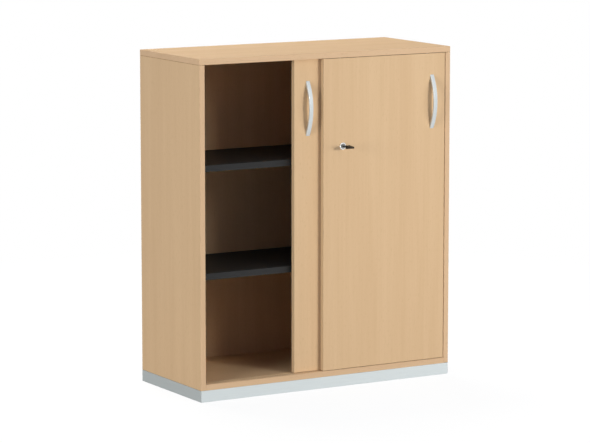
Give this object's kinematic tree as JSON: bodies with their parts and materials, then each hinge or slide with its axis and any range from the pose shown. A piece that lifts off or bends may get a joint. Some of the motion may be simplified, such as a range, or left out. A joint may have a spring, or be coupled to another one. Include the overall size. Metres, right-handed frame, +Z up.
{
  "type": "sliding door cabinet",
  "caption": "Low office cabinet with sliding doors one behind the other, steel shelves, bow handles, a push lock with its key, and a silver plinth.",
  "frame": {"origin": "on the floor, at the middle of the overall box in plan, key and handles included", "axes": "+Z up, -Y out of the front, +X to the right seen from the front"},
  "size_m": [1, 0.5006, 1.17],
  "materials": {
    "beech_board": "beech decor on chipboard, satin",
    "silver_plinth": "silver laminate on chipboard, satin",
    "black_shelf": "black powder coat, satin",
    "silver_handle": "satin silver",
    "lock_chrome": "polished",
    "plain_steel": "zinc plated",
    "track_plastic": "beige, matched to the boards",
    "dark_plastic": "black, fine grained",
    "white_nylon": "natural nylon",
    "grey_rubber": "matt"
  },
  "bodies": {
    "carcass": {"top_panel": "beech_board", "bottom_panel": "beech_board", "left_side": "beech_board", "right_side": "beech_board", "back_panel": "beech_board", "plinth_front": "silver_plinth", "plinth_back": "silver_plinth", "plinth_left": "silver_plinth", "plinth_right": "silver_plinth", "lower_shelf": "black_shelf", "upper_shelf": "black_shelf", "lower_shelf_pin_left_front": "plain_steel", "lower_shelf_pin_left_back": "plain_steel", "lower_shelf_pin_right_front": "plain_steel", "lower_shelf_pin_right_back": "plain_steel", "upper_shelf_pin_left_front": "plain_steel", "upper_shelf_pin_left_back": "plain_steel", "upper_shelf_pin_right_front": "plain_steel", "upper_shelf_pin_right_back": "plain_steel", "front_track": "track_plastic", "rear_track": "track_plastic", "upper_guide_rail": "track_plastic", "left_door_closing_buffer": "grey_rubber", "right_door_closing_buffer": "grey_rubber", "left_door_open_stop": "grey_rubber"},
    "foot_left_front": {"levelling_foot_left_front": "plain_steel"},
    "foot_left_back": {"levelling_foot_left_back": "plain_steel"},
    "foot_right_front": {"levelling_foot_right_front": "plain_steel"},
    "foot_right_back": {"levelling_foot_right_back": "plain_steel"},
    "left_sliding_door": {"left_door": "beech_board", "left_handle": "silver_handle", "left_handle_screw_lower": "plain_steel", "left_handle_screw_upper": "plain_steel", "left_door_left_roller_housing": "dark_plastic", "left_door_left_roller_axle": "plain_steel", "left_door_right_roller_housing": "dark_plastic", "left_door_right_roller_axle": "plain_steel", "left_door_left_guide": "white_nylon", "left_door_right_guide": "white_nylon", "striker_bush": "dark_plastic"},
    "left_door_left_wheel": {"left_door_left_roller_wheel": "white_nylon"},
    "left_door_right_wheel": {"left_door_right_roller_wheel": "white_nylon"},
    "right_sliding_door": {"right_door": "beech_board", "right_handle": "silver_handle", "right_handle_screw_lower": "plain_steel", "right_handle_screw_upper": "plain_steel", "right_door_left_roller_housing": "dark_plastic", "right_door_left_roller_axle": "plain_steel", "right_door_right_roller_housing": "dark_plastic", "right_door_right_roller_axle": "plain_steel", "right_door_left_guide": "white_nylon", "right_door_right_guide": "white_nylon", "lock_housing": "lock_chrome"},
    "right_door_left_wheel": {"right_door_left_roller_wheel": "white_nylon"},
    "right_door_right_wheel": {"right_door_right_roller_wheel": "white_nylon"},
    "push_cylinder": {"lock_cylinder": "lock_chrome", "lock_bolt": "plain_steel"},
    "turning_plug": {"lock_plug": "lock_chrome"},
    "key": {"key_blade": "plain_steel"},
    "key_grip": {"key_head": "dark_plastic"}
  },
  "joints": [
    {"name": "left_door_slide", "type": "slide", "parent": "carcass", "child": "left_sliding_door", "axis": [1, 0, 0], "range_m": [-0.358, 0]},
    {"name": "left_door_left_wheel_spin", "type": "hinge", "parent": "left_sliding_door", "child": "left_door_left_wheel", "pos_m": [-0.051, -0.15175, 0.066], "axis": [0, 1, 0], "range_deg": [-1710, 5]},
    {"name": "left_door_right_wheel_spin", "type": "hinge", "parent": "left_sliding_door", "child": "left_door_right_wheel", "pos_m": [0.402, -0.15175, 0.066], "axis": [0, 1, 0], "range_deg": [-1710, 5]},
    {"name": "right_door_slide", "type": "slide", "parent": "carcass", "child": "right_sliding_door", "axis": [1, 0, 0], "range_m": [-0.04, 0]},
    {"name": "right_door_left_wheel_spin", "type": "hinge", "parent": "right_sliding_door", "child": "right_door_left_wheel", "pos_m": [0.053, -0.17325, 0.066], "axis": [0, 1, 0], "range_deg": [-195, 5]},
    {"name": "right_door_right_wheel_spin", "type": "hinge", "parent": "right_sliding_door", "child": "right_door_right_wheel", "pos_m": [0.409, -0.17325, 0.066], "axis": [0, 1, 0], "range_deg": [-195, 5]},
    {"name": "foot_left_front_height", "type": "slide", "parent": "carcass", "child": "foot_left_front", "axis": [0, 0, 1], "range_m": [-0.01, 0]},
    {"name": "foot_left_back_height", "type": "slide", "parent": "carcass", "child": "foot_left_back", "axis": [0, 0, 1], "range_m": [-0.01, 0]},
    {"name": "foot_right_front_height", "type": "slide", "parent": "carcass", "child": "foot_right_front", "axis": [0, 0, 1], "range_m": [-0.01, 0]},
    {"name": "foot_right_back_height", "type": "slide", "parent": "carcass", "child": "foot_right_back", "axis": [0, 0, 1], "range_m": [-0.01, 0]},
    {"name": "lock_push", "type": "slide", "parent": "right_sliding_door", "child": "push_cylinder", "axis": [0, 1, 0], "range_m": [0, 0.003], "stiffness_N_per_m": 800, "springref_m": -0.005},
    {"name": "key_turn", "type": "hinge", "parent": "push_cylinder", "child": "turning_plug", "pos_m": [0.06, -0.185, 0.844], "axis": [0, 1, 0], "range_deg": [0, 90]},
    {"name": "key_pull", "type": "slide", "parent": "turning_plug", "child": "key", "axis": [0, -1, 0], "range_m": [0, 0.03]},
    {"name": "key_fold", "type": "hinge", "parent": "key", "child": "key_grip", "pos_m": [0.06, -0.21825, 0.844], "axis": [1, 0, 0], "range_deg": [-90, 90]}
  ],
  "couplings": [
    {"joint": "left_door_left_wheel_spin", "follows": "left_door_slide", "rad_per_m": 83.333},
    {"joint": "left_door_right_wheel_spin", "follows": "left_door_slide", "rad_per_m": 83.333},
    {"joint": "right_door_left_wheel_spin", "follows": "right_door_slide", "rad_per_m": 83.333},
    {"joint": "right_door_right_wheel_spin", "follows": "right_door_slide", "rad_per_m": 83.333}
  ]
}
